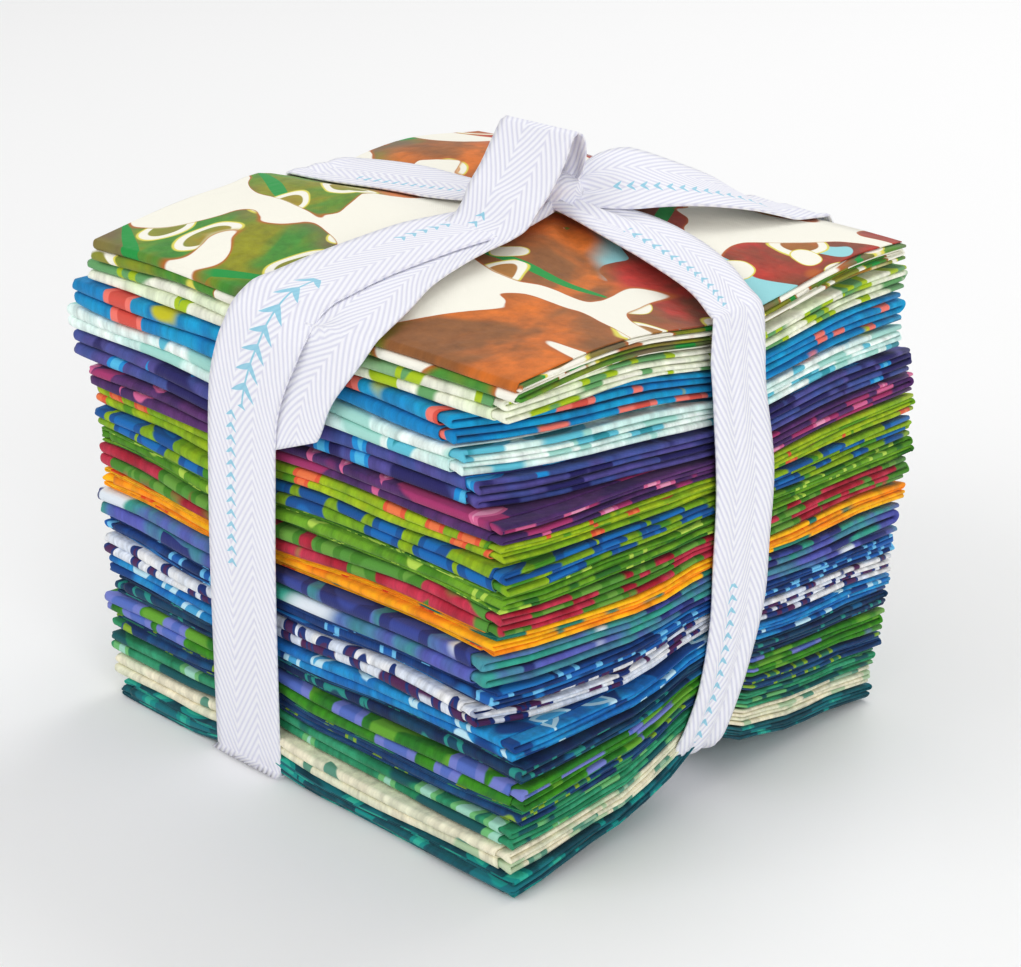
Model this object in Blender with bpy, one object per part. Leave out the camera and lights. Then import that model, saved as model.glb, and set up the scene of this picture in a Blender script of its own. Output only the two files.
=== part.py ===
"""Fat quarter bundle: 21 folded fat quarters of cotton, tied crosswise with one twill ribbon.

Sizes are millimetres until a mesh is made. +X runs along the front, +Y to the back, +Z up.
Each fat quarter is one back-and-forth sheet: its layers run front to back and turn round at
the folds. A layer here stands for the three thin layers that the cloth has after it is
folded in thirds across.
"""
import math
from collections import namedtuple

import bmesh
import bpy
from mathutils import Matrix, Vector

MM = 0.001

# The folded cloth, before the ribbon pulls it in
WIDTH = 152.0           # 18 in of cloth in thirds
DEPTH = 143.0           # 22 in of cloth folded back and forth
HEIGHT = 129.0          # the stack at its front edge
LAYERS = 4              # layers in the section of each fat quarter
LAYER_GAP = 0.2         # between the layers of one fat quarter
PIECE_GAP = 0.3         # between one fat quarter and the next
SIDE_BULGE = 4.0        # the right side swells this far at mid height
END_JITTER = 1.2        # how unevenly the layers end at left and right
FOLD_WAVE = 1.1         # how far a front or back fold wanders along its length
FOLD_SIDES = (60.0, 120.0)  # degrees round a fold at which it has a point

# The ribbon
RIBBON_WIDTH = 25.0
RIBBON_THICK = 1.0
KNOT = Vector((9.5, 11.0, 141.5))
KNOT_SIZE = Vector((9.5, 8.0, 5.5))
KNOT_TURN = 25.0        # degrees
KNOT_PINCH = 0.14       # how far the knot is drawn in round its middle, as a share

# The bundle's own middle, measured from the middle of its bounding box
ORIGIN = Vector((-2.4, 0.9, 0.0))

# Heights of the stack's top and underside, at the stations where every piece has points.
# The columns go from the left edge to the right: edge, left half, front wrap, knot,
# right half, edge. The ribbons press the cloth down, and it puffs up between them.
STATION_X = (-WIDTH / 2, -44.0, -18.5, 9.5, 44.0, WIDTH / 2)
Level = namedtuple("Level", "y left left_half wrap knot right_half right")
TOP = (
    Level(-DEPTH / 2, 129.0, 129.5, 128.5, 128.5, 129.0, 128.5),
    Level(-34.0, 133.5, 136.0, 134.5, 134.0, 131.5, 130.5),
    Level(5.0, 132.0, 135.0, 135.5, 135.5, 130.5, 125.5),
    Level(44.0, 134.0, 137.0, 136.5, 136.0, 132.0, 129.5),
    Level(DEPTH / 2, 131.0, 131.5, 131.0, 131.0, 129.5, 129.0),
)
UNDERSIDE = (
    Level(-DEPTH / 2, 0.0, 0.0, 3.0, 0.0, 0.0, 0.0),
    Level(-34.0, 0.0, 0.0, 3.0, 0.0, 0.0, 6.0),
    Level(5.0, 6.0, 3.0, 6.0, 3.0, 4.0, 12.5),
    Level(44.0, 0.0, 0.0, 3.0, 0.0, 0.0, 4.0),
    Level(DEPTH / 2, 0.0, 0.0, 3.0, 0.0, 0.0, 0.0),
)
STATION_Y = tuple(row.y for row in TOP)
FALL = (1.0, 0.25, 0.0, 0.0, 0.0)   # how much of a front corner's shift each row of Y takes

# The fat quarters, top to bottom. thick: its share of the height. left and corner: how far
# the near end moves in from the left edge, and from the right, at the front. front and
# back: how far its folds stand back from the faces. turned: its two free ends are in front.
Quarter = namedtuple("Quarter", "print thick left corner front back turned red green blue")
QUARTERS = (
    Quarter("sunset", 6.0, 2.0, 0.0, 0.4, 0.5, False, 0.55, 0.36, 0.16),
    Quarter("lime_on_cream", 6.2, -2.2, 6.0, 0.9, 0.6, False, 0.86, 0.88, 0.70),
    Quarter("cerulean", 8.2, -7.5, 22.0, 0.2, 1.0, False, 0.05, 0.58, 0.84),
    Quarter("aqua_on_white", 7.4, -11.0, 20.0, 0.7, 1.8, False, 0.88, 0.94, 0.92),
    Quarter("violet_blue", 7.4, -11.0, 17.0, 1.2, -2.0, False, 0.24, 0.26, 0.62),
    Quarter("plum", 5.4, -3.0, 8.0, 0.5, -2.5, False, 0.46, 0.20, 0.44),
    Quarter("coral_on_lime", 5.4, -2.8, 10.0, 1.4, -3.2, False, 0.70, 0.76, 0.12),
    Quarter("lime", 6.4, -1.7, 8.0, 0.6, -2.4, False, 0.62, 0.75, 0.10),
    Quarter("leaf_green", 5.0, -2.0, 10.0, 1.2, -3.2, True, 0.44, 0.66, 0.12),
    Quarter("crimson", 7.0, -2.6, 11.0, 0.8, -1.8, False, 0.74, 0.14, 0.24),
    Quarter("orange_yellow", 5.6, -2.0, 13.0, 1.6, -0.6, True, 0.97, 0.66, 0.06),
    Quarter("seafoam", 8.4, -3.7, 15.0, 0.3, 0.6, False, 0.28, 0.62, 0.62),
    Quarter("sky_on_navy", 5.0, -2.4, 13.0, 1.5, 1.8, True, 0.07, 0.28, 0.54),
    Quarter("navy_on_white", 6.6, -2.2, 18.0, 0.9, 1.8, False, 0.84, 0.87, 0.91),
    Quarter("ice_on_blue", 5.4, -2.4, 6.0, 1.3, 1.8, False, 0.10, 0.42, 0.68),
    Quarter("midnight", 4.9, 0.0, 3.0, 1.8, 2.6, True, 0.05, 0.16, 0.30),
    Quarter("periwinkle_on_green", 6.8, -3.7, 1.5, 0.8, 2.4, False, 0.30, 0.60, 0.14),
    Quarter("olive_on_navy", 4.9, -2.2, 3.0, 1.5, 2.2, True, 0.10, 0.26, 0.40),
    Quarter("emerald", 5.6, -1.9, 3.5, 1.0, 4.0, False, 0.16, 0.60, 0.44),
    Quarter("linen", 6.4, 0.5, 5.0, 0.7, 4.6, False, 0.88, 0.85, 0.74),
    Quarter("teal", 5.0, 4.3, 0.0, 1.6, 3.6, True, 0.04, 0.32, 0.36),
)

# The ribbon's route, section by section. x, y, z: the middle of the face that lies on the
# cloth. spread: the share of its width that lies open, less where it gathers at the knot.
# turn: the heading of that width, in degrees from +X. lean: how far its far end tips up.
Section = namedtuple("Section", "x y z spread turn lean")
FRONT_WRAP = (
    Section(9.5, 9.0, 139.5, 0.36, 0, 0), Section(9.3, 0.0, 138.6, 0.60, 0, 0),
    Section(9.0, -10.0, 137.4, 0.88, 0, 0), Section(8.5, -25.0, 136.2, 1.00, 0, 0),
    Section(7.5, -38.0, 134.8, 1.00, 0, 0), Section(6.0, -52.0, 133.0, 1.00, 2, 0),
    Section(4.0, -64.0, 131.4, 1.00, 5, 0), Section(2.5, -69.5, 131.2, 1.00, 5, -2),
    Section(0.5, -73.4, 130.2, 1.00, 0, -8), Section(-1.5, -73.6, 126.5, 1.00, 0, -18),
    Section(-8.0, -73.0, 116.0, 1.00, 0, -22),
    Section(-13.0, -72.6, 100.0, 1.00, 0, -14), Section(-16.0, -72.6, 80.0, 1.00, 0, -7),
    Section(-18.0, -72.6, 56.0, 1.00, 0, -2), Section(-18.5, -72.6, 30.0, 1.00, 0, 0),
    Section(-18.5, -72.8, 6.0, 1.00, 0, 0), Section(-18.5, -72.4, 1.6, 1.00, 0, 0),
    Section(-18.5, -69.0, 1.0, 1.00, 0, 0), Section(-18.5, 0.0, 1.0, 1.00, 0, 0),
    Section(-18.5, 71.0, 1.0, 1.00, 0, 0), Section(-18.5, 75.4, 1.6, 1.00, 0, 0),
    Section(-18.5, 76.0, 6.0, 1.00, 0, 0), Section(-17.0, 76.0, 40.0, 1.00, 0, 2),
    Section(-11.0, 76.0, 80.0, 1.00, 0, 6), Section(-3.0, 76.0, 110.0, 1.00, 0, 8),
    Section(1.0, 75.0, 128.0, 1.00, 0, 8), Section(3.0, 70.0, 131.8, 1.00, -5, 0),
    Section(5.0, 58.0, 134.4, 1.00, -5, 0), Section(6.5, 44.0, 137.2, 1.00, -5, 0),
    Section(8.0, 30.0, 138.0, 0.92, -5, 0), Section(9.0, 20.0, 139.0, 0.60, 0, 0),
    Section(9.5, 13.0, 140.0, 0.36, 0, 0),
)
SIDE_WRAP = (
    Section(10.0, 10.5, 140.5, 0.36, 90, 0), Section(19.0, 12.0, 139.2, 0.56, 90, 0),
    Section(30.0, 14.0, 136.8, 0.80, 90, 0), Section(44.0, 13.5, 133.6, 0.92, 96, 0),
    Section(60.0, 9.5, 131.0, 0.94, 100, 0), Section(74.0, 4.0, 129.2, 0.90, 98, 0),
    Section(78.6, 1.8, 127.8, 0.84, 94, 0), Section(79.6, 0.8, 118.0, 0.82, 90, 0),
    Section(80.6, 1.4, 102.0, 0.82, 90, 0), Section(81.2, 3.2, 84.0, 0.88, 90, 0),
    Section(81.2, 3.2, 56.0, 0.86, 90, 0), Section(80.2, 0.8, 36.0, 0.80, 90, -4),
    Section(79.0, -3.2, 22.0, 0.74, 90, -6), Section(78.1, -5.0, 11.5, 0.72, 90, -3),
    Section(77.4, -5.0, 7.4, 0.72, 90, 0), Section(74.0, -5.0, 6.2, 0.72, 90, 2),
    Section(64.0, -2.0, 3.6, 0.78, 90, 2), Section(50.0, 3.0, 1.4, 0.88, 90, 0),
    Section(20.0, 5.0, 1.0, 1.00, 90, 0), Section(-1.0, 5.0, 1.0, 1.00, 90, 0),
    Section(-5.0, 5.0, 2.4, 1.00, 90, 0), Section(-32.0, 5.0, 2.4, 1.00, 90, 0),
    Section(-36.0, 5.0, 1.0, 1.00, 90, 0), Section(-56.0, 5.0, 1.0, 1.00, 90, 0),
    Section(-74.0, 5.0, 2.2, 0.88, 90, 0), Section(-77.8, 5.0, 5.4, 0.88, 90, 0),
    Section(-77.8, 5.0, 40.0, 1.00, 90, 0), Section(-77.8, 6.0, 90.0, 1.00, 90, 0),
    Section(-78.0, 7.0, 131.6, 0.96, 90, 0), Section(-73.0, 7.5, 134.6, 0.96, 88, 0),
    Section(-56.0, 8.0, 135.4, 1.00, 88, 0), Section(-38.0, 8.5, 137.0, 1.00, 88, 0),
    Section(-18.0, 9.5, 137.9, 0.96, 89, 0), Section(-4.0, 10.5, 139.0, 0.64, 90, 0),
    Section(8.5, 11.0, 140.5, 0.36, 90, 0),
)
FRONT_TAIL = (
    Section(9.0, 13.0, 140.5, 0.40, 0, 0), Section(7.0, 16.5, 146.0, 0.68, 0, 0),
    Section(5.0, 16.0, 153.0, 0.92, 0, 0), Section(4.5, 13.5, 157.0, 1.00, 0, 0),
    Section(4.5, 10.5, 157.0, 1.00, 0, 0), Section(5.5, 6.0, 152.0, 1.00, 0, -5),
    Section(8.0, -3.0, 145.6, 1.00, -4, -8), Section(11.0, -15.0, 141.6, 1.00, -10, -6),
    Section(15.0, -33.0, 138.6, 1.00, -12, -3), Section(19.0, -52.0, 136.0, 1.00, -6, -2),
    Section(21.5, -66.0, 133.4, 1.00, 0, -2), Section(21.0, -73.6, 130.6, 1.00, 0, -6),
    Section(16.0, -75.2, 124.0, 1.00, 0, -20), Section(8.5, -75.2, 113.5, 1.00, 0, -20),
    Section(2.0, -75.0, 103.0, 1.00, 0, -10), Section(-0.6, -74.8, 93.5, 1.00, 0, 18),
)
BACK_TAIL = (
    Section(11.0, 14.0, 142.0, 0.40, 120, 30), Section(15.0, 20.0, 143.6, 0.72, 132, 30),
    Section(21.0, 29.0, 143.6, 1.00, 138, 22), Section(27.5, 40.0, 142.0, 1.00, 146, 12),
    Section(33.0, 54.0, 138.6, 1.00, 155, 5), Section(37.0, 67.0, 134.6, 1.00, 165, 0),
    Section(39.0, 75.2, 130.0, 1.00, 175, 0), Section(40.0, 77.0, 122.0, 1.00, 180, 0),
    Section(41.0, 77.0, 112.0, 1.00, 180, 8),
)
RIBBON_COLOUR = (0.93, 0.93, 0.96)


def clear_scene():
    for item in list(bpy.data.objects):
        bpy.data.objects.remove(item, do_unlink=True)


def make_collection(name):
    collection = bpy.data.collections.new(name)
    bpy.context.scene.collection.children.link(collection)
    return collection


def cloth_material(name, colour, roughness):
    material = bpy.data.materials.new(name)
    material.use_nodes = True
    shader = material.node_tree.nodes["Principled BSDF"]
    shader.inputs["Base Color"].default_value = (*colour, 1.0)
    shader.inputs["Roughness"].default_value = roughness
    shader.inputs["Metallic"].default_value = 0.0
    material.diffuse_color = (*colour, 1.0)
    return material


def add_object(name, bm, material, collection):
    """Make a smooth-shaded object from a mesh in millimetres."""
    bmesh.ops.recalc_face_normals(bm, faces=bm.faces)
    bmesh.ops.transform(bm, matrix=Matrix.Scale(MM, 4), verts=bm.verts)
    mesh = bpy.data.meshes.new(name)
    bm.to_mesh(mesh)
    bm.free()
    mesh.shade_smooth()
    mesh.set_sharp_from_angle(angle=math.radians(40.0))
    mesh.materials.append(material)
    item = bpy.data.objects.new(name, mesh)
    item.location = -ORIGIN * MM
    collection.objects.link(item)
    return item


def cell(stations, value):
    """The station below a value, and how far the value is towards the next one."""
    index = 0
    while index < len(stations) - 2 and value > stations[index + 1]:
        index += 1
    return index, (value - stations[index]) / (stations[index + 1] - stations[index])


def level(table, x, y):
    """The height that a table of levels gives at a point, straight between its stations."""
    i, u = cell(STATION_X, x)
    j, v = cell(STATION_Y, y)
    near, far = table[j][1:], table[j + 1][1:]
    front = near[i] + (near[i + 1] - near[i]) * u
    back = far[i] + (far[i + 1] - far[i]) * u
    return front + (back - front) * v


def stack_height(share, x, y):
    """Height of the surface that has this share of the stack below it.

    The dents under the ribbons fade away towards the other end of the stack.
    """
    lift = level(UNDERSIDE, x, y) * (1.0 - share) ** 2
    puff = (level(TOP, x, y) - HEIGHT) * share ** 2
    return HEIGHT * share + lift + puff


def wander(number, step, size):
    """A small repeatable unevenness, from 0 to size."""
    return size * (0.5 + 0.5 * math.sin(2.4 * number + 1.7 * step + 0.6 * number * step))


def end_x(quarter, number, share, side, row, layer):
    """Where a layer ends at the left (side -1) or the right (side 1)."""
    uneven = wander(number, 3 * layer + side, END_JITTER)
    if side < 0:
        return STATION_X[0] + quarter.left * FALL[row] + uneven
    bulge = SIDE_BULGE * math.sin(math.pi * share)
    return STATION_X[-1] + bulge - quarter.corner * FALL[row] - uneven


def make_quarter(number, quarter, below, above, material, collection):
    """Loft one folded sheet through its stations along X.

    Every station has the same points: the two faces of each layer at the rows of Y, and
    two points round the outside of each fold. The folds alternate between front and back.
    All cells are split along the same diagonal, so that neighbours lie parallel.
    """
    share = (below + above) / 2
    thick = quarter.thick - PIECE_GAP
    sheet = (thick - (LAYERS - 1) * LAYER_GAP) / LAYERS
    fold_radius = sheet + LAYER_GAP / 2
    reach = fold_radius * math.sin(math.radians(FOLD_SIDES[0]))
    rows = range(len(STATION_Y))
    bm = bmesh.new()

    def place(station, row, y, layer, part):
        """One point; part runs from 0 at the piece's underside to 1 at its top."""
        if station == 0:
            x = end_x(quarter, number, share, -1, row, layer)
        elif station == len(STATION_X) - 1:
            x = end_x(quarter, number, share, 1, row, layer)
        else:
            x = STATION_X[station]
        low = stack_height(below, x, y)
        high = stack_height(above, x, y)
        if below > 0.0:
            low += PIECE_GAP / 2
        if above < 1.0:
            high -= PIECE_GAP / 2
        return bm.verts.new((x, y, low + (high - low) * part))

    def face_part(layer, on_top):
        """The height share of a layer's face; layer 0 is the top one."""
        from_under = (LAYERS - 1 - layer) * (sheet + LAYER_GAP)
        return (from_under + (sheet if on_top else 0.0)) / thick

    def section(station):
        front = STATION_Y[0] + quarter.front + wander(number, station, FOLD_WAVE) + reach
        back = STATION_Y[-1] - quarter.back - wander(number, station + 5, FOLD_WAVE) - reach
        ys = (front, *STATION_Y[1:-1], back)
        faces = {}
        turns = {}
        for layer in range(LAYERS):
            for on_top in (True, False):
                part = face_part(layer, on_top)
                faces[layer, on_top] = [place(station, row, ys[row], layer, part) for row in rows]
        for layer in range(LAYERS - 1):
            in_front = (layer % 2 == 0) != quarter.turned
            row = 0 if in_front else rows[-1]
            out = -1.0 if in_front else 1.0
            high = face_part(layer, True)
            low = face_part(layer + 1, False)
            turns[layer] = []
            for angle in FOLD_SIDES:
                part = (high + low) / 2 + (high - low) / 2 * math.cos(math.radians(angle))
                y = ys[row] + out * fold_radius * math.sin(math.radians(angle))
                turns[layer].append(place(station, row, y, layer, part))
        return faces, turns

    def outline(faces, turns):
        """All points of a section, down one face of the sheet and back up the other."""
        loop = []
        for side in (0, 1):
            order = range(LAYERS) if side == 0 else reversed(range(LAYERS))
            for layer in order:
                to_front = ((layer + side) % 2 == 0) != quarter.turned
                line = faces[layer, (layer + side) % 2 == 0]
                loop += reversed(line) if to_front else line
                if layer % 2 == 0 and side == 0 and layer in turns:
                    loop += turns[layer]
                if layer % 2 == 0 and side == 1 and layer > 0:
                    loop += reversed(turns[layer - 1])
        return loop

    def cap(faces, turns):
        """Close an end, layer by layer and fold by fold."""
        for layer in range(LAYERS):
            for row in rows[:-1]:
                top, under = faces[layer, True], faces[layer, False]
                bm.faces.new((top[row], top[row + 1], under[row + 1], under[row]))
        for layer, turn in turns.items():
            in_front = (layer % 2 == 0) != quarter.turned
            row = 0 if in_front else rows[-1]
            bm.faces.new((faces[layer, True][row], *turn, faces[layer + 1, False][row],
                          faces[layer + 1, True][row], faces[layer, False][row]))

    sections = [section(station) for station in range(len(STATION_X))]
    for one, other in zip(sections, sections[1:]):
        here, there = outline(*one), outline(*other)
        for k in range(len(here)):
            n = (k + 1) % len(here)
            front, back = (k, n) if here[k].co.y <= here[n].co.y else (n, k)
            bm.faces.new((here[front], here[back], there[back]))
            bm.faces.new((here[front], there[back], there[front]))
    cap(*sections[0])
    cap(*sections[-1])
    return add_object(f"fat_quarter_{number:02d}", bm, material, collection)


def make_strip(sections):
    """A flat ribbon along a route: a four-sided loft with closed ends."""
    centres = [Vector((s.x, s.y, s.z)) for s in sections]
    bm = bmesh.new()
    rings = []
    for k, s in enumerate(sections):
        ahead = centres[min(k + 1, len(centres) - 1)] - centres[k]
        behind = centres[k] - centres[max(k - 1, 0)]
        along = (ahead.normalized() + behind.normalized()).normalized()
        turn, lean = math.radians(s.turn), math.radians(s.lean)
        across = Vector((math.cos(turn) * math.cos(lean), math.sin(turn) * math.cos(lean),
                         math.sin(lean)))
        outward = along.cross(across).normalized() * RIBBON_THICK
        half = across * RIBBON_WIDTH * s.spread / 2
        ring = [centres[k] - half, centres[k] + half,
                centres[k] + half + outward, centres[k] - half + outward]
        rings.append([bm.verts.new((p.x, p.y, max(p.z, 0.0))) for p in ring])
    for one, other in zip(rings, rings[1:]):
        for k in range(4):
            n = (k + 1) % 4
            bm.faces.new((one[k], one[n], other[n], other[k]))
    bm.faces.new(rings[0])
    bm.faces.new(rings[-1])
    return bm


def make_knot():
    """The knot: a flattened ball, a little pinched round its middle by the ribbon's turn."""
    bm = bmesh.new()
    bmesh.ops.create_uvsphere(bm, u_segments=14, v_segments=9, radius=1.0)
    turn = math.radians(KNOT_TURN)
    for v in bm.verts:
        pinch = 1.0 - KNOT_PINCH * math.cos(math.pi * v.co.x)
        x, y, z = v.co.x * KNOT_SIZE.x, v.co.y * KNOT_SIZE.y * pinch, v.co.z * KNOT_SIZE.z
        v.co = KNOT + Vector((x * math.cos(turn) - y * math.sin(turn),
                              x * math.sin(turn) + y * math.cos(turn), z))
    return bm


def make_ribbon(material, collection, cutters):
    """The whole ribbon: two wraps, the knot and both free ends, joined into one solid."""
    ribbon = add_object("ribbon", make_knot(), material, collection)
    strips = (("front_wrap", FRONT_WRAP), ("side_wrap", SIDE_WRAP),
              ("front_tail", FRONT_TAIL), ("back_tail", BACK_TAIL))
    for name, sections in strips:
        strip = add_object(name, make_strip(sections), material, cutters)
        strip.hide_render = True
        strip.display_type = "WIRE"
        union = ribbon.modifiers.new(name, "BOOLEAN")
        union.operation = "UNION"
        union.solver = "EXACT"
        union.object = strip
    return ribbon


def main():
    clear_scene()
    bundle = make_collection("fat_quarter_bundle")
    cutters = make_collection("ribbon_strips")
    total = sum(quarter.thick for quarter in QUARTERS)
    above = 1.0
    for number, quarter in enumerate(QUARTERS, start=1):
        below = above - quarter.thick / total
        if number == len(QUARTERS):
            below = 0.0
        colour = (quarter.red, quarter.green, quarter.blue)
        material = cloth_material(quarter.print, colour, 0.85)
        make_quarter(number, quarter, below, above, material, bundle)
        above = below
    make_ribbon(cloth_material("twill", RIBBON_COLOUR, 0.7), bundle, cutters)


main()
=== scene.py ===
# %% [markdown]
# # A bundle of fat quarters
# A quilt shop sells a set of prints as a bundle of fat quarters: pieces of cotton cut
# 18 by 22 inches, folded to one size, stacked, and tied crosswise with a ribbon.
# The looks are built around a fixed frame that holds the size and place of every piece.

# %% The frame
import math
from collections import namedtuple

import bpy
import numpy as np
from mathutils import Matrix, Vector


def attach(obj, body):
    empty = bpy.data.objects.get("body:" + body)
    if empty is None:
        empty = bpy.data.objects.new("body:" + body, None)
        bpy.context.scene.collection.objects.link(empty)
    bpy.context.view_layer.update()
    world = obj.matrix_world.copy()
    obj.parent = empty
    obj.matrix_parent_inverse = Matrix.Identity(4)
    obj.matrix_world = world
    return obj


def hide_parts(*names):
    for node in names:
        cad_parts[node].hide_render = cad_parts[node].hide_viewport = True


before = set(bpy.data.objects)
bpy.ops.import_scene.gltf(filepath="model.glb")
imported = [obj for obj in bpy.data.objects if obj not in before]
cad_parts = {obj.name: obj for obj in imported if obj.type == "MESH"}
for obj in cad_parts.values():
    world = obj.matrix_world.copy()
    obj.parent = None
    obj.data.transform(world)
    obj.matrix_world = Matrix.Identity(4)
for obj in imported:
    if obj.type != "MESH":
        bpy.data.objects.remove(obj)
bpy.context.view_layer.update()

# %% [markdown]
# ## Measures
# Everything is worked out in millimetres and turned into metres when a mesh is made.
# The cloth is thin, about a third of a millimetre. A piece is folded in thirds across its
# width, and then back and forth along its length, so a stack of it is twelve layers deep.

# %% Measures
MM = 0.001
WIDTH, DEPTH, HEIGHT = 152.0, 143.0, 129.0
CLOTH_WIDTH, CLOTH_LENGTH = 457.0, 559.0
CLOTH_THICK = 0.28
PIECE_GAP = 0.6
LAYERS, THIRDS = 4, 3
SIDE_BULGE = 4.0
RIBBON_WIDTH, RIBBON_THICK = 25.0, 0.5
ORIGIN = Vector((-2.4, 0.9, 0.0))  # the middle of the frame's box, seen from the bundle's own


def linear(colour):
    """Turn a colour as the eye and the screen count it into the light that a shader mixes."""
    return tuple(c / 12.92 if c <= 0.04045 else ((c + 0.055) / 1.055) ** 2.4 for c in colour)


# %% [markdown]
# ## The camera
# The camera comes first, because every later choice of detail depends on what it sees. It
# looks down a little on the corner where two faces meet, with a long lens.

# %% The camera
AZIMUTH, ELEVATION = math.radians(44.02), math.radians(22.83)
DISTANCE, AIM_RIGHT, AIM_UP = 0.634, 0.00385, 0.06192
FOCAL_PIXELS, FRAME_PIXELS, SENSOR_MM = 2400.0, 1021.0, 36.0

right = Vector((math.cos(AZIMUTH), math.sin(AZIMUTH), 0.0))
back = Vector((math.sin(AZIMUTH) * math.cos(ELEVATION), -math.cos(AZIMUTH) * math.cos(ELEVATION),
               math.sin(ELEVATION)))
aim = right * AIM_RIGHT + Vector((0.0, 0.0, AIM_UP)) - ORIGIN * MM
lens = bpy.data.cameras.new("camera")
lens.sensor_width = SENSOR_MM
lens.lens = FOCAL_PIXELS / FRAME_PIXELS * SENSOR_MM
camera = bpy.data.objects.new("camera", lens)
camera.location = aim + back * DISTANCE
camera.rotation_euler = back.to_track_quat("Z", "Y").to_euler()
bpy.context.scene.collection.objects.link(camera)
bpy.context.scene.camera = camera
print("camera at", [round(c, 3) for c in camera.location], "lens", round(lens.lens, 1), "mm")

# %% [markdown]
# ## The stack's shape
# The ribbon presses the stack down where it crosses, and the cloth puffs up between. Two
# short tables hold that: the height of the top, and of the underside, at a few stations.
# A smooth curve through the stations gives the height anywhere, and the dents fade towards
# the other end of the stack. Each layer of cloth is one level of this shape, so layers
# follow each other and never cross.

# %% The stack's shape
STATION_X = np.array((-WIDTH / 2, -44.0, -18.5, 9.5, 44.0, WIDTH / 2))
# Each level: y, then the height at the left edge, the left half, the front wrap, the knot,
# the right half and the right edge.
TOP = (
    (-DEPTH / 2, 129.0, 129.5, 128.5, 128.5, 129.0, 128.5),
    (-34.0, 133.5, 136.0, 134.5, 134.0, 131.5, 130.5),
    (5.0, 132.0, 135.0, 135.5, 135.5, 130.5, 125.5),
    (44.0, 134.0, 137.0, 136.5, 136.0, 132.0, 129.5),
    (DEPTH / 2, 131.0, 131.5, 131.0, 131.0, 129.5, 129.0),
)
UNDERSIDE = (
    (-DEPTH / 2, 0.0, 0.0, 3.0, 0.0, 0.0, 0.0),
    (-34.0, 0.0, 0.0, 3.0, 0.0, 0.0, 4.0),
    (-20.0, 1.0, 1.0, 3.5, 1.0, 1.0, 8.0),
    (-10.0, 3.0, 2.0, 4.2, 2.0, 3.0, 15.0),
    (2.0, 5.0, 3.0, 5.0, 3.0, 4.0, 14.0),
    (14.0, 4.0, 2.5, 4.5, 2.5, 3.5, 8.5),
    (30.0, 1.0, 1.0, 3.5, 1.0, 1.0, 5.0),
    (44.0, 0.0, 0.0, 3.0, 0.0, 0.0, 3.5),
    (DEPTH / 2, 0.0, 0.0, 3.0, 0.0, 0.0, 0.0),
)
KNOT = Vector((9.5, 11.0, 141.5))


def smooth_curve(stations, values, at, flat):
    """A curve through values at stations. flat: it lies level at every station."""
    steps = np.diff(stations)[:, None]
    slopes = np.diff(values, axis=0) / steps
    ends = [slopes[:1], (slopes[1:] + slopes[:-1]) / 2, slopes[-1:]]
    lean = np.concatenate(ends) * (0.0 if flat else 1.0)
    at = np.clip(at, stations[0], stations[-1])
    i = np.clip(np.searchsorted(stations, at) - 1, 0, len(stations) - 2)
    n = np.arange(at.size) if values.shape[1] > 1 else np.zeros(at.size, int)
    h = steps[i, 0]
    u = (at - stations[i]) / h
    one, other = values[i, n], values[i + 1, n]
    start, end = lean[i, n] * h, lean[i + 1, n] * h
    ease = u * u * (3 - 2 * u)
    return one + (other - one) * ease + start * u * (1 - u) ** 2 - end * u * u * (1 - u)


def table_height(table, x, y, flat):
    rows = [smooth_curve(STATION_X, np.array(row[1:])[:, None], x, flat) for row in table]
    return smooth_curve(np.array([row[0] for row in table]), np.array(rows), y, flat)


SLOW_DRIFT, QUICK_DRIFT, DRIFT_FROM = 0.55, 0.30, 20.0  # how far layers wander, and above what height


def drift(x, y, z):
    """Slow waves that make the layers wander as hand-folded cloth does."""
    slow = SLOW_DRIFT * np.sin(x / 17 + z / 8 + 0.7) * np.cos(y / 26 + z / 13)
    quick = QUICK_DRIFT * np.sin(x / 8.5 - z / 6 + 2.1) * np.cos(y / 9 + z / 10)
    return (slow + quick) * np.clip(z / DRIFT_FROM, 0, 1)


CREASES, CREASE_HEIGHT, CREASE_REACH = 7, 1.1, 42.0


def knot_pull(x, y):
    """Shallow creases that run out from the knot over the top."""
    dx, dy = x - KNOT.x, y - KNOT.y
    far = np.hypot(dx, dy)
    ray = np.arctan2(dy, dx)
    fold = np.cos(CREASES * ray + far / 15 + 1.4 * np.sin(2 * ray + 0.6))
    return CREASE_HEIGHT * fold * np.exp(-far / CREASE_REACH) * np.clip(far / 16, 0, 1)


GROOVE, RIDGE_ABOVE, BAND_SAG = 2.2, 2.0, 2.8   # what the ribbon does to the cloth, in millimetres


def strand_press(x, y):
    """The left strand lies in a groove, behind a low ridge of cloth."""
    beside = np.clip((-12.0 - x) / 22, 0, 1)
    groove = -GROOVE * np.exp(-((y - 9.0) / 10.0) ** 2)
    ridge = RIDGE_ABOVE * np.exp(-((y + 14.0) / 8.0) ** 2)
    return beside * (groove + ridge)


def front_sag(share, x, y):
    """The front band draws the middle rows of the front down a little."""
    near_band = np.exp(-((x + 24.0) / 27.0) ** 2 - (y + DEPTH / 2) / 30.0)
    return -BAND_SAG * np.sin(math.pi * share) * near_band


def stack_height(share, x, y):
    """Height of the level that has this share of the stack below it."""
    shape = x.shape
    share, x, y = (np.broadcast_to(a, shape).ravel() for a in (share, x, y))
    lift = table_height(UNDERSIDE, x, y, flat=True) * (1 - share) ** 2
    puff = (table_height(TOP, x, y, flat=False) - HEIGHT) * share ** 2
    z = HEIGHT * share
    pressed = (knot_pull(x, y) + strand_press(x, y)) * share ** 6
    sunk = front_sag(share, x, y)
    return (z + lift + puff + drift(x, y, z) + pressed + sunk).reshape(shape)


print("top at the knot and at the left half, mm:",
      stack_height(np.ones(2), np.array((9.5, -44.0)), np.array((11.0, 44.0))).round(1))

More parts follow.
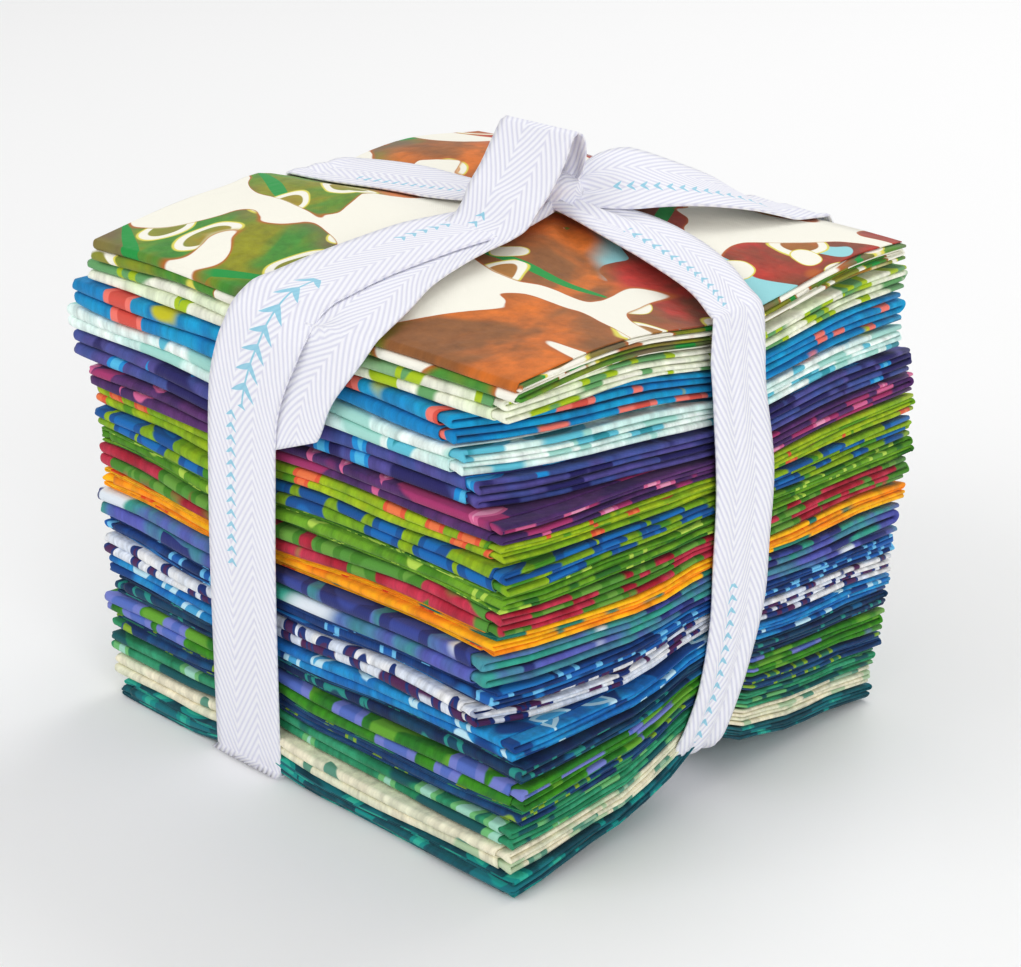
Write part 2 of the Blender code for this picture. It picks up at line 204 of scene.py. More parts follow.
# %% [markdown]
# ## The pieces of cloth
# One row for each fat quarter, from the top down: its share of the height, and how far its
# folded ends and folds stand in or out. A shop folds by hand, so no two rows are alike.

# %% The pieces of cloth
Quarter = namedtuple("Quarter", "name thick left corner front back turned")
QUARTERS = tuple(Quarter(*row) for row in (
    ("sunset_leaf", 6.0, 2.0, 0.0, 0.4, 0.5, False),
    ("lime_on_cream", 6.2, -2.2, 6.0, 0.9, 0.6, False),
    ("cerulean", 8.2, -7.5, 22.0, 0.2, 1.0, False),
    ("aqua_on_white", 7.4, -11.0, 20.0, 0.7, 1.8, False),
    ("violet_blue", 7.4, -11.0, 17.0, 1.2, -2.0, False),
    ("plum", 5.4, -3.0, 8.0, 0.5, -2.5, False),
    ("coral_on_lime", 5.4, -2.8, 10.0, 1.4, -3.2, False),
    ("lime", 6.4, -1.7, 8.0, 0.6, -2.4, False),
    ("leaf_green", 5.0, -2.0, 10.0, 1.2, -3.2, True),
    ("crimson", 7.0, -2.6, 11.0, 0.8, -1.8, False),
    ("orange_yellow", 5.6, -2.0, 13.0, 1.6, -0.6, True),
    ("seafoam", 8.4, -3.7, 15.0, 0.3, 0.6, False),
    ("sky_on_navy", 5.0, -2.4, 13.0, 1.5, 1.8, True),
    ("navy_on_white", 6.6, -2.2, 18.0, 0.9, 1.8, False),
    ("ice_on_blue", 5.4, -2.4, 6.0, 1.3, 1.8, False),
    ("midnight", 4.9, 0.0, 3.0, 1.8, 2.6, True),
    ("periwinkle_on_green", 6.8, -3.7, 1.5, 0.8, 2.4, False),
    ("olive_on_navy", 4.9, -2.2, 3.0, 1.5, 2.2, True),
    ("emerald", 5.6, -1.9, 3.5, 0.8, 4.0, False),
    ("linen", 6.4, 0.5, 3.0, -1.0, 4.6, False),
    ("teal", 5.0, 4.3, 0.0, -2.0, 3.6, True),
))
STACK_TOTAL = sum(quarter.thick for quarter in QUARTERS)
print(len(QUARTERS), "fat quarters,", round(STACK_TOTAL, 1), "mm of folded cloth")

# %% [markdown]
# ## Folding one piece
# Folded cloth could be a block with a striped material, but then its edges would be paint.
# Here each piece is one real sheet. Its length runs back and forth between the front and
# the back, round a half turn at each fold. Its width runs in thirds between left and right,
# inside that path. A point of the cloth has a place along both, so its print can be drawn
# in flat cloth coordinates, and it turns round every fold as real dye does.

# %% Folding one piece
RUN_STEPS, TURN_STEPS = 15, 8        # points along a layer, and round a fold
THIRD_STEPS, HEM_STEPS = 17, 5       # points along a third, and round the turn between thirds
END_STEPS = (0.0, 0.006, 0.013, 0.021, 0.032)  # and closer together at its ends
TOP_FINENESS = 2                     # the top piece is looked at most
FOLD_FULLNESS = 0.8                  # under 1, a fold's face is flatter than a half circle
END_WANDER, FOLD_WANDER = 0.9, 1.2   # how unevenly ends and folds are laid, in millimetres
RAW_EDGE_IN = 3.6                    # a raw edge lies behind the fold beside it
TOP_EDGE_IN = 0.7                    # but on the top piece it shows
ROLL, ROLL_REACH = 0.86, 0.021       # how far a fold opens at its end, and over what share
ROLLED = ((0.0, -1.0), (-1.0, 1.0), (1.0, 0.0))  # each third's side of its fold at left and right
UNEVEN = 0.32                        # how much thicker one layer of a piece is than another
CORNER_REACH = 27.0                  # how far back from the front corner an end stands in


def wave(phase, along, size, length):
    """A slow wave from 0 to size, for the wander of a fold or an edge."""
    return size * (0.5 + 0.5 * np.sin(along / length + 2.4 * phase + 0.9 * np.sin(along / 13 + phase)))


def length_path(pitch, fineness):
    """Stations along the cloth's length: row, across (0 front, 1 back), centre, normal, turn."""
    stations = []
    packet = THIRDS * pitch
    for layer in range(LAYERS):
        centre = (LAYERS - 1 - layer + 0.5) * packet
        to_front = layer % 2 == 0
        steps = np.linspace(0, 1, RUN_STEPS * fineness + 1)
        for u in (1 - steps if to_front else steps):
            stations.append((layer, u, centre, 1.0 if to_front else -1.0, 0.0, 0.0))
        if layer == LAYERS - 1:
            break
        middle = centre - packet / 2
        for angle in np.linspace(0, math.pi, TURN_STEPS + 2)[1:-1]:
            out = -1.0 if to_front else 1.0
            stations.append((layer, 0.0 if to_front else 1.0, middle, 0.0, out, angle))
    return np.array(stations)


def width_path(pitch, fineness, rolled):
    """Stations along the cloth's width: third, across (0 left, 1 right), offset, beyond."""
    stations = []
    ends = np.array(END_STEPS)
    rough = np.concatenate([ends, np.linspace(0.06, 0.94, THIRD_STEPS), 1 - ends[::-1]])
    count = (len(rough) - 1) * fineness + 1
    steps = np.interp(np.linspace(0, len(rough) - 1, count), np.arange(len(rough)), rough)
    for third in range(THIRDS):
        to_right = third % 2 == 0
        level = (third - 1) * pitch
        for u in (steps if to_right else 1 - steps):
            offset = level
            for side, near in zip(ROLLED[third], (1 - u / ROLL_REACH, 1 - (1 - u) / ROLL_REACH)):
                if rolled and side and near > 0:
                    offset += (side * ROLL * pitch - level) * near * near * (3 - 2 * near)
            stations.append((third, u, offset, 0.0))
        if third == THIRDS - 1:
            break
        middle, radius = (0.0, ROLL * pitch) if rolled else (level + pitch / 2, pitch / 2)
        for angle in np.linspace(0, math.pi, HEM_STEPS + 2)[1:-1]:
            beyond = radius * math.sin(angle) * (1 if to_right else -1)
            offset = middle - radius * math.cos(angle)
            stations.append((third, 1.0 if to_right else 0.0, offset, beyond))
    return np.array(stations)


def fold_cloth(number, quarter, below, above):
    """Points and flat coordinates of one folded sheet, as grids."""
    fineness = TOP_FINENESS if number == 1 else 1
    pitch = (quarter.thick - PIECE_GAP) / (LAYERS * THIRDS)
    layer, across, centre, run, out, angle = length_path(pitch, fineness).T[:, :, None]
    third, u, offset, beyond = width_path(pitch, fineness, number > 1).T[:, None, :]
    edge_in = RAW_EDGE_IN if number > 1 else TOP_EDGE_IN
    share = (below + above) / 2
    radius = 1.5 * pitch

    # the ends at left and right: a fold or a raw edge, each with its own wander
    side = -1.0 if quarter.turned else 1.0
    y_rough = side * (across - 0.5) * DEPTH
    fall = np.exp(-(y_rough + DEPTH / 2) / CORNER_REACH)
    seed = 3.1 * number + 1.7 * (layer + angle / math.pi)
    bulge = SIDE_BULGE * math.sin(math.pi * share)
    right_end = (WIDTH / 2 + bulge - quarter.corner * fall
                 - wave(seed + 5 * third, y_rough, END_WANDER, 21)
                 - np.where(third == THIRDS - 1, edge_in, 0))
    left_end = (-WIDTH / 2 + quarter.left * fall
                + wave(seed + 4 * third + 2, y_rough, END_WANDER, 19)
                + np.where(third == 0, edge_in, 0))
    x = left_end + (right_end - left_end) * u + beyond

    # the folds at the front and back wander too, and two layers share each fold
    fold_ahead = np.floor(layer / 2) * 2
    fold_behind = np.floor((layer + 1) / 2) * 2 - 1
    half = DEPTH / 2 - FOLD_FULLNESS * 2.5 * pitch
    ahead_in, behind_in = quarter.front, quarter.back
    if quarter.turned:
        ahead_in, behind_in = behind_in, ahead_in
    ahead = half - ahead_in - wave(number + 1.3 * fold_ahead, x, FOLD_WANDER, 24)
    behind = half - behind_in - wave(number + 2.1 * fold_behind + 4, x, FOLD_WANDER, 26)
    inward = np.where(out > 0, -1.0, 1.0)
    rise = np.where(out == 0, run * offset, np.cos(angle) * (radius + inward * offset))
    fold_face = out * FOLD_FULLNESS * np.sin(angle) ** 0.8 * (radius + inward * offset)
    y = side * ((ahead + behind) * across - ahead + fold_face)

    part = (centre + rise) / (LAYERS * THIRDS * pitch)
    part = part + UNEVEN * math.sin(1.9 * number) * np.sin(2 * math.pi * part) / (2 * math.pi)
    trim = PIECE_GAP / 2 / HEIGHT
    level = below + trim + (above - below - 2 * trim) * part
    z = stack_height(level, x, y)
    cloth_u = (third + np.where(third % 2 == 0, u, 1 - u)) * CLOTH_WIDTH / THIRDS
    to_front = np.where(layer % 2 == 0, 1 - across, across)
    cloth_v = (layer + to_front) * CLOTH_LENGTH / LAYERS + angle * radius * 0.5
    shape = np.broadcast_shapes(x.shape, z.shape)
    points = np.stack([np.broadcast_to(a, shape) for a in (x, y, z)], axis=-1)
    flat = np.stack([np.broadcast_to(a, shape) for a in (cloth_u, cloth_v)], axis=-1)
    return points, flat


def grid_object(name, points, flat, thick, offset):
    """A sheet from a grid of points in millimetres, with its flat coordinates and thickness."""
    rows, columns = points.shape[:2]
    index = np.arange(rows * columns).reshape(rows, columns)
    faces = np.stack([index[:-1, :-1], index[:-1, 1:], index[1:, 1:], index[1:, :-1]], axis=-1)
    faces = faces.reshape(-1, 4)
    places = (points.reshape(-1, 3) - np.array(ORIGIN)) * MM
    mesh = bpy.data.meshes.new(name)
    mesh.from_pydata(places.tolist(), [], faces.tolist())
    layer = mesh.uv_layers.new(name="cloth")
    layer.uv.foreach_set("vector", (flat.reshape(-1, 2)[faces.ravel()] * MM).ravel())
    mesh.shade_smooth()
    item = bpy.data.objects.new(name, mesh)
    bpy.context.scene.collection.objects.link(item)
    solid = item.modifiers.new("thickness", "SOLIDIFY")
    solid.thickness = thick * MM
    solid.offset = offset
    return item


# %% [markdown]
# ## Dye and print
# Batik is dyed and stamped by hand. Its ground is mottled where the dye pooled, and its
# motifs were kept back with wax, so they have soft edges and a thin halo. All the prints
# share these effects, so each effect is a node group, and each print sets its own values.

# %% Helpers for node groups
def new_group(name, inputs, outputs):
    """An empty node group with named sockets: (name, socket kind, default or None)."""
    group = bpy.data.node_groups.new(name, "ShaderNodeTree")
    for title, kind, value in inputs:
        socket = group.interface.new_socket(name=title, in_out="INPUT", socket_type=f"NodeSocket{kind}")
        if value is not None:
            socket.default_value = value
    for title, kind in outputs:
        group.interface.new_socket(name=title, in_out="OUTPUT", socket_type=f"NodeSocket{kind}")
    return group, group.nodes.new("NodeGroupInput"), group.nodes.new("NodeGroupOutput")


def add_node(tree, kind, settings=None, **inputs):
    """A node with its settings, and its inputs linked or set by name (or by n0, n1 for place)."""
    node = tree.nodes.new(kind)
    for key, value in (settings or {}).items():
        setattr(node, key, value)
    for key, value in inputs.items():
        is_place = key[0] == "n" and key[1:].isdigit()
        socket = node.inputs[int(key[1:])] if is_place else node.inputs[key.replace("_", " ")]
        if isinstance(value, bpy.types.NodeSocket):
            tree.links.new(value, socket)
        else:
            socket.default_value = value
    return node


def maths(tree, operation, *values):
    places = {f"n{k}": value for k, value in enumerate(values)}
    return add_node(tree, "ShaderNodeMath", {"operation": operation}, **places).outputs[0]


def times(tree, one, other):
    return maths(tree, "MULTIPLY", one, other)


def over(tree, one, other):
    return maths(tree, "DIVIDE", one, other)


def plus(tree, one, other):
    return maths(tree, "ADD", one, other)


def minus(tree, one, other):
    return maths(tree, "SUBTRACT", one, other)


def vector_maths(tree, operation, **inputs):
    return add_node(tree, "ShaderNodeVectorMath", {"operation": operation}, **inputs).outputs[0]


def soft_step(tree, value, low, high):
    """0 below low, 1 above high, and a smooth rise between."""
    node = add_node(tree, "ShaderNodeMapRange", {"interpolation_type": "SMOOTHSTEP"},
                    n0=value, n1=low, n2=high, n3=0.0, n4=1.0)
    return node.outputs[0]


def mix_colour(tree, share, one, other):
    node = add_node(tree, "ShaderNodeMix", {"data_type": "RGBA", "clamp_factor": True})
    for place, value in ((0, share), (6, one), (7, other)):
        if isinstance(value, bpy.types.NodeSocket):
            tree.links.new(value, node.inputs[place])
        else:
            node.inputs[place].default_value = value if place == 0 else (*value, 1.0)
    return node.outputs[2]


# %% The mottled ground
def make_ground_group():
    group, given, made = new_group(
        "batik_ground",
        [("Place", "Vector", None), ("One", "Color", None), ("Other", "Color", None),
         ("Pool", "Float", 0.03), ("Depth", "Float", 0.62)],
        [("Color", "Color")])
    per_pool = over(group, 1.0, given.outputs["Pool"])
    broad = add_node(group, "ShaderNodeTexNoise", Vector=given.outputs["Place"], Scale=per_pool,
                     Detail=3.0, Roughness=0.55, Distortion=0.6)
    share = soft_step(group, broad.outputs["Fac"], 0.38, 0.62)
    colour = mix_colour(group, share, given.outputs["One"], given.outputs["Other"])
    fine_scale = times(group, per_pool, 6.5)
    fine = add_node(group, "ShaderNodeTexNoise", Vector=given.outputs["Place"], Scale=fine_scale,
                    Detail=4.0, Roughness=0.65)
    swing = times(group, minus(group, fine.outputs["Fac"], 0.5), 2.0)
    bright = plus(group, times(group, swing, given.outputs["Depth"]), 1.0)
    tone = add_node(group, "ShaderNodeHueSaturation", Value=bright, Color=colour)
    group.links.new(tone.outputs["Color"], made.inputs["Color"])
    return group


# %% The scattered motif
def make_motif_group():
    """Leaves, pebbles or dashes, one to a cell, each turned its own way."""
    group, given, made = new_group(
        "wax_motif",
        [("Place", "Vector", None), ("Size", "Float", 0.02), ("Length", "Float", 0.45),
         ("Breadth", "Float", 0.2), ("Warp", "Float", 0.15), ("Share", "Float", 0.8),
         ("Round", "Float", 1.0)],
        [("Mask", "Float"), ("Halo", "Float"), ("Core", "Float")])
    per_size = over(group, 1.0, given.outputs["Size"])
    scaled = vector_maths(group, "SCALE", n0=given.outputs["Place"], Scale=per_size)
    wobble = add_node(group, "ShaderNodeTexNoise", Vector=scaled, Scale=1.6, Detail=0.5)
    centred = vector_maths(group, "SUBTRACT", n0=wobble.outputs["Color"], n1=(0.5, 0.5, 0.5))
    pushed = vector_maths(group, "SCALE", n0=centred, Scale=given.outputs["Warp"])
    place = vector_maths(group, "ADD", n0=scaled, n1=pushed)
    cells = add_node(group, "ShaderNodeTexVoronoi", {"voronoi_dimensions": "2D"},
                     Vector=place, Scale=1.0, Randomness=0.55)
    local = vector_maths(group, "SUBTRACT", n0=place, n1=cells.outputs["Position"])
    chance = add_node(group, "ShaderNodeSeparateColor", Color=cells.outputs["Color"])
    turn = times(group, chance.outputs[0], 2 * math.pi)
    turned = add_node(group, "ShaderNodeVectorRotate", {"rotation_type": "Z_AXIS"},
                      Vector=local, Angle=turn)
    at = add_node(group, "ShaderNodeSeparateXYZ", Vector=turned.outputs[0])
    along = over(group, at.outputs[0], given.outputs["Length"])
    aside = over(group, maths(group, "ABSOLUTE", at.outputs[1]), given.outputs["Breadth"])
    taper = minus(group, 1.0, times(group, along, along))
    inside = minus(group, taper, maths(group, "POWER", aside, given.outputs["Round"]))
    kept = maths(group, "LESS_THAN", chance.outputs[1], given.outputs["Share"])
    for title, low, high in (("Mask", 0.0, 0.10), ("Halo", -0.18, -0.04), ("Core", 0.46, 0.54)):
        value = times(group, soft_step(group, inside, low, high), kept)
        group.links.new(value, made.inputs[title])
    return group


# %% The drifting bands
def make_band_group():
    """Long irregular patches, where one dye was laid over another."""
    group, given, made = new_group(
        "dye_bands",
        [("Place", "Vector", None), ("Size", "Float", 0.02), ("Share", "Float", 0.4),
         ("Stretch", "Float", 0.5), ("Soft", "Float", 0.03)],
        [("Mask", "Float")])
    per_size = over(group, 1.0, given.outputs["Size"])
    at = add_node(group, "ShaderNodeSeparateXYZ", Vector=given.outputs["Place"])
    squeezed = times(group, at.outputs[0], given.outputs["Stretch"])
    place = add_node(group, "ShaderNodeCombineXYZ", X=squeezed, Y=at.outputs[1], Z=at.outputs[2])
    noise = add_node(group, "ShaderNodeTexNoise", Vector=place.outputs[0], Scale=per_size,
                     Detail=1.5, Roughness=0.4, Distortion=0.8)
    level = minus(group, 0.72, times(group, given.outputs["Share"], 0.44))
    edge = plus(group, level, given.outputs["Soft"])
    mask = add_node(group, "ShaderNodeMapRange", {"interpolation_type": "SMOOTHSTEP"},
                    n0=noise.outputs["Fac"], n1=level, n2=edge, n3=0.0, n4=1.0)
    group.links.new(mask.outputs[0], made.inputs["Mask"])
    return group


# %% The cotton's surface
def make_weave_group():
    """The height of a plain weave, with the slubs and soft creases of washed cotton."""
    group, given, made = new_group(
        "cotton_weave", [("Place", "Vector", None), ("Yarn", "Float", 0.0004)],
        [("Height", "Float")])
    per_yarn = over(group, math.pi, given.outputs["Yarn"])
    at = add_node(group, "ShaderNodeSeparateXYZ", Vector=given.outputs["Place"])
    warp = maths(group, "SINE", times(group, at.outputs[0], per_yarn))
    weft = maths(group, "SINE", times(group, at.outputs[1], per_yarn))
    woven = times(group, times(group, warp, weft), 0.00003)
    crease = add_node(group, "ShaderNodeTexNoise", Vector=given.outputs["Place"], Scale=95.0,
                      Detail=3.0, Roughness=0.55, Distortion=0.4)
    soft = times(group, crease.outputs["Fac"], 0.0016)
    group.links.new(plus(group, woven, soft), made.inputs["Height"])
    return group


GROUPS = {"ground": make_ground_group(), "motif": make_motif_group(), "bands": make_band_group(),
          "weave": make_weave_group()}
print("node groups:", ", ".join(group.name for group in GROUPS.values()))


# %% [markdown]
# ## The prints
# Each print is a ground of two dyes, one scattered motif and one drifting band of a third
# dye. The colours are written as the eye sees them. Sizes are in metres of cloth.

# %% The prints
Print = namedtuple("Print", "name one other pool motif size length breadth share core "
                            "band band_size band_share")
CREAM, LIME, SAGE = (0.94, 0.94, 0.88), (0.68, 0.78, 0.10), (0.42, 0.65, 0.42)
PRINTS = tuple(Print(*row) for row in (
    ("lime_on_cream", CREAM, (0.88, 0.92, 0.80), 0.04, LIME, 0.030, 0.62, 0.30, 0.55, SAGE,
     SAGE, 0.040, 0.35),
    ("cerulean", (0.05, 0.62, 0.80), (0.02, 0.52, 0.75), 0.03, (0.95, 0.50, 0.45), 0.034, 0.45,
     0.28, 0.50, (0.85, 0.35, 0.30), (0.78, 0.76, 0.12), 0.030, 0.12),
    ("aqua_on_white", (0.93, 0.97, 0.95), (0.80, 0.92, 0.90), 0.03, (0.40, 0.76, 0.84), 0.030,
     0.60, 0.36, 0.60, (0.20, 0.60, 0.66), (0.66, 0.86, 0.82), 0.026, 0.35),
    ("violet_blue", (0.34, 0.31, 0.58), (0.26, 0.34, 0.60), 0.03, (0.10, 0.58, 0.84), 0.022,
     0.50, 0.24, 0.55, (0.34, 0.74, 0.90), (0.16, 0.14, 0.40), 0.026, 0.40),
    ("plum", (0.38, 0.20, 0.44), (0.27, 0.15, 0.38), 0.02, (0.84, 0.42, 0.60), 0.018, 0.50,
     0.24, 0.60, (0.92, 0.62, 0.74), (0.66, 0.22, 0.44), 0.024, 0.34),
    ("coral_on_lime", (0.66, 0.75, 0.08), (0.52, 0.68, 0.10), 0.02, (0.90, 0.38, 0.24), 0.018,
     0.50, 0.25, 0.28, (0.94, 0.50, 0.30), (0.36, 0.60, 0.12), 0.022, 0.26),
    ("lime", (0.58, 0.70, 0.06), (0.46, 0.64, 0.10), 0.02, (0.03, 0.34, 0.60), 0.024, 0.60,
     0.36, 0.80, (0.04, 0.44, 0.72), (0.30, 0.58, 0.14), 0.026, 0.28),
    ("leaf_green", (0.30, 0.54, 0.08), (0.46, 0.66, 0.14), 0.02, (0.72, 0.84, 0.34), 0.018,
     0.50, 0.24, 0.60, (0.40, 0.62, 0.20), (0.18, 0.44, 0.14), 0.022, 0.32),
    ("crimson", (0.64, 0.07, 0.18), (0.78, 0.22, 0.33), 0.02, (0.30, 0.54, 0.16), 0.026, 0.58,
     0.34, 0.85, (0.44, 0.64, 0.26), (0.36, 0.60, 0.24), 0.028, 0.34),
    ("orange_yellow", (0.99, 0.76, 0.04), (0.97, 0.58, 0.05), 0.04, (0.92, 0.34, 0.10), 0.024,
     0.50, 0.24, 0.25, (0.95, 0.50, 0.20), (0.14, 0.52, 0.46), 0.026, 0.14),
    ("seafoam", (0.22, 0.64, 0.56), (0.36, 0.38, 0.70), 0.04, (0.18, 0.22, 0.48), 0.036, 0.60,
     0.34, 0.60, (0.24, 0.30, 0.60), (0.88, 0.91, 0.94), 0.034, 0.16),
    ("sky_on_navy", (0.06, 0.28, 0.54), (0.05, 0.20, 0.42), 0.02, (0.46, 0.76, 0.92), 0.020,
     0.50, 0.24, 0.60, (0.10, 0.40, 0.70), (0.10, 0.46, 0.72), 0.024, 0.30),
    ("navy_on_white", (0.91, 0.91, 0.91), (0.84, 0.87, 0.92), 0.02, (0.10, 0.22, 0.48), 0.014,
     0.46, 0.22, 0.70, (0.32, 0.16, 0.36), (0.34, 0.14, 0.34), 0.018, 0.22),
    ("ice_on_blue", (0.05, 0.44, 0.72), (0.12, 0.58, 0.80), 0.02, (0.76, 0.90, 0.95), 0.020,
     0.50, 0.26, 0.60, (0.30, 0.66, 0.84), (0.04, 0.28, 0.54), 0.024, 0.35),
    ("midnight", (0.04, 0.16, 0.34), (0.04, 0.28, 0.40), 0.02, (0.16, 0.58, 0.54), 0.018, 0.50,
     0.24, 0.55, (0.06, 0.30, 0.40), (0.10, 0.42, 0.60), 0.022, 0.25),
    ("periwinkle_on_green", (0.24, 0.56, 0.08), (0.16, 0.48, 0.14), 0.02, (0.48, 0.52, 0.80),
     0.034, 0.62, 0.30, 0.70, (0.36, 0.46, 0.76), (0.42, 0.66, 0.20), 0.026, 0.30),
    ("olive_on_navy", (0.06, 0.22, 0.42), (0.08, 0.34, 0.52), 0.02, (0.56, 0.70, 0.20), 0.018,
     0.50, 0.24, 0.60, (0.20, 0.50, 0.40), (0.20, 0.58, 0.40), 0.022, 0.30),
    ("emerald", (0.12, 0.52, 0.36), (0.22, 0.62, 0.46), 0.02, (0.46, 0.74, 0.48), 0.024, 0.55,
     0.28, 0.55, (0.64, 0.84, 0.76), (0.05, 0.36, 0.38), 0.026, 0.34),
    ("linen", (0.93, 0.90, 0.80), (0.88, 0.88, 0.78), 0.03, (0.38, 0.60, 0.52), 0.024, 0.56,
     0.28, 0.55, (0.60, 0.74, 0.64), (0.70, 0.80, 0.66), 0.026, 0.25),
    ("teal", (0.03, 0.28, 0.34), (0.03, 0.38, 0.42), 0.02, (0.04, 0.58, 0.56), 0.022, 0.55,
     0.26, 0.60, (0.20, 0.70, 0.62), (0.06, 0.46, 0.50), 0.026, 0.30),
))
BUMP_DISTANCE, WEAVE_STRENGTH = 0.6, 0.6
SHEEN = 0.12
MOTIF_SCALE, BAND_SCALE = 0.62, 0.7


def on_cloth(tree):
    """The flat coordinates that the cloth had before it was folded, in metres."""
    return add_node(tree, "ShaderNodeUVMap", {"uv_map": "cloth"}).outputs[0]


def place_in_cloth(tree, seed):
    """The flat cloth coordinates, moved so that each print starts at its own spot."""
    shift = (0.37 * seed, 0.53 * seed, 0.11 * seed)
    return vector_maths(tree, "ADD", n0=on_cloth(tree), n1=shift)


def grouped(tree, key, **inputs):
    node = tree.nodes.new("ShaderNodeGroup")
    node.node_tree = GROUPS[key]
    for title, value in inputs.items():
        socket = node.inputs[title]
        if isinstance(value, bpy.types.NodeSocket):
            tree.links.new(value, socket)
        else:
            socket.default_value = (*linear(value), 1.0) if isinstance(value, tuple) else value
    return node


def fabric_shader(name, roughness):
    """A new material, with the matte surface that all cotton here has."""
    material = bpy.data.materials.new(name)
    material.use_nodes = True
    tree = material.node_tree
    shader = tree.nodes["Principled BSDF"]
    shader.inputs["Roughness"].default_value = roughness
    shader.inputs["Sheen Weight"].default_value = SHEEN
    return material, tree, shader


def add_bump(tree, shader, height, strength):
    bump = add_node(tree, "ShaderNodeBump", Height=height, Strength=strength, Distance=BUMP_DISTANCE)
    tree.links.new(bump.outputs["Normal"], shader.inputs["Normal"])


def weave_bump(tree, shader, place):
    add_bump(tree, shader, grouped(tree, "weave", Place=place).outputs["Height"], WEAVE_STRENGTH)


def print_material(recipe, seed):
    material, tree, shader = fabric_shader(recipe.name, 0.85)
    place = place_in_cloth(tree, seed)
    ground = grouped(tree, "ground", Place=place, One=recipe.one, Other=recipe.other,
                     Pool=recipe.pool * BAND_SCALE)
    bands = grouped(tree, "bands", Place=place, Size=recipe.band_size * BAND_SCALE,
                    Share=recipe.band_share)
    motif = grouped(tree, "motif", Place=place, Size=recipe.size * MOTIF_SCALE, Length=recipe.length,
                    Breadth=recipe.breadth, Share=recipe.share)
    colour = mix_colour(tree, bands.outputs["Mask"], ground.outputs["Color"], linear(recipe.band))
    colour = mix_colour(tree, motif.outputs["Mask"], colour, linear(recipe.motif))
    colour = mix_colour(tree, motif.outputs["Core"], colour, linear(recipe.core))
    tree.links.new(colour, shader.inputs["Base Color"])
    weave_bump(tree, shader, place)
    return material


# %% [markdown]
# ## The top print
# The top piece shows its whole face, so its print is drawn with more care. The ground runs
# from olive at the left corner, through orange brown, to brick at the right. On it lie
# large cream patches with a rust rim, emerald streaks, small leaves drawn in outline, and
# a few drops. The patches keep the other motifs off, as wax does.

# %% The top print
SUNSET_GROUNDS = (((0.56, 0.56, 0.06), (0.28, 0.56, 0.20), 0.026),
                  ((0.56, 0.36, 0.18), (0.84, 0.46, 0.14), 0.030),
                  ((0.76, 0.20, 0.16), (0.52, 0.28, 0.18), 0.028))
WAX_CREAM = (0.96, 0.95, 0.90)


def sunset_ground(tree, place):
    at = add_node(tree, "ShaderNodeSeparateXYZ", Vector=on_cloth(tree))
    across = minus(tree, at.outputs[0], at.outputs[1])
    slow = add_node(tree, "ShaderNodeTexNoise", Vector=place, Scale=17.0, Detail=3.0, Roughness=0.5)
    wander = times(tree, minus(tree, slow.outputs["Fac"], 0.5), 0.20)
    run = plus(tree, across, wander)
    away = minus(tree, run, times(tree, at.outputs[1], 0.6))
    olive, brown, brick = (
        grouped(tree, "ground", Place=place, One=one, Other=other, Pool=pool, Depth=0.5).outputs[0]
        for one, other, pool in SUNSET_GROUNDS)
    stain = add_node(tree, "ShaderNodeTexNoise", Vector=place, Scale=31.0, Detail=2.0)
    stained = times(tree, soft_step(tree, stain.outputs["Fac"], 0.48, 0.66), 0.85)
    green = mix_colour(tree, stained, olive, linear((0.50, 0.38, 0.32)))
    warm = mix_colour(tree, soft_step(tree, run, 0.250, 0.285), green, brown)
    far = soft_step(tree, away, 0.300, 0.330)
    return mix_colour(tree, far, warm, brick), far


def sunset_material(seed):
    material, tree, shader = fabric_shader("sunset_leaf", 0.82)
    place = place_in_cloth(tree, seed)
    ground, far = sunset_ground(tree, place)
    aqua = grouped(tree, "bands", Place=place_in_cloth(tree, seed + 5), Size=0.024, Share=0.34,
                   Soft=0.006)
    on_brick = times(tree, aqua.outputs["Mask"], far)
    colour = mix_colour(tree, on_brick, ground, linear((0.60, 0.84, 0.86)))
    rim, patch = (grouped(tree, "bands", Place=place, Size=0.036, Share=share, Stretch=0.75,
                          Soft=soft).outputs["Mask"] for share, soft in ((0.465, 0.02), (0.43, 0.006)))
    colour = mix_colour(tree, rim, colour, linear((0.74, 0.40, 0.14)))
    colour = mix_colour(tree, patch, colour, linear(WAX_CREAM))
    clear = minus(tree, 1.0, rim)
    streaks = grouped(tree, "motif", Place=place_in_cloth(tree, seed + 2), Size=0.052, Length=0.46,
                      Breadth=0.040, Warp=0.10, Share=0.85)
    drawn = times(tree, streaks.outputs["Mask"], clear)
    colour = mix_colour(tree, drawn, colour, linear((0.08, 0.60, 0.26)))
    for shift, size, length, breadth, share, hollow in ((0, 0.025, 0.36, 0.27, 0.62, True),
                                                        (3, 0.019, 0.26, 0.19, 0.26, False)):
        leaves = grouped(tree, "motif", Place=place_in_cloth(tree, seed + shift), Size=size,
                         Length=length, Breadth=breadth, Warp=0.35, Share=share, Round=1.8)
        glow = times(tree, leaves.outputs["Halo"], clear)
        kept = times(tree, leaves.outputs["Mask"], clear)
        rimmed = mix_colour(tree, glow, colour, linear((0.88, 0.84, 0.36)))
        white = mix_colour(tree, kept, rimmed, linear(WAX_CREAM))
        heart = mix_colour(tree, 0.35, ground, linear((0.80, 0.58, 0.20)))
        inner = times(tree, leaves.outputs["Core"], clear) if hollow else 0.0
        colour = mix_colour(tree, inner, white, heart)
    tree.links.new(colour, shader.inputs["Base Color"])
    weave_bump(tree, shader, place)
    return material


# %% Lay the pieces down
def make_cloth(number, quarter, below, above, material):
    points, flat = fold_cloth(number, quarter, below, above)
    piece = grid_object(f"folded_{quarter.name}", points, flat, CLOTH_THICK, 0.0)
    piece.data.materials.append(material)
    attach(piece, "root")
    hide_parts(f"fat_quarter_{number:02d}")
    return piece


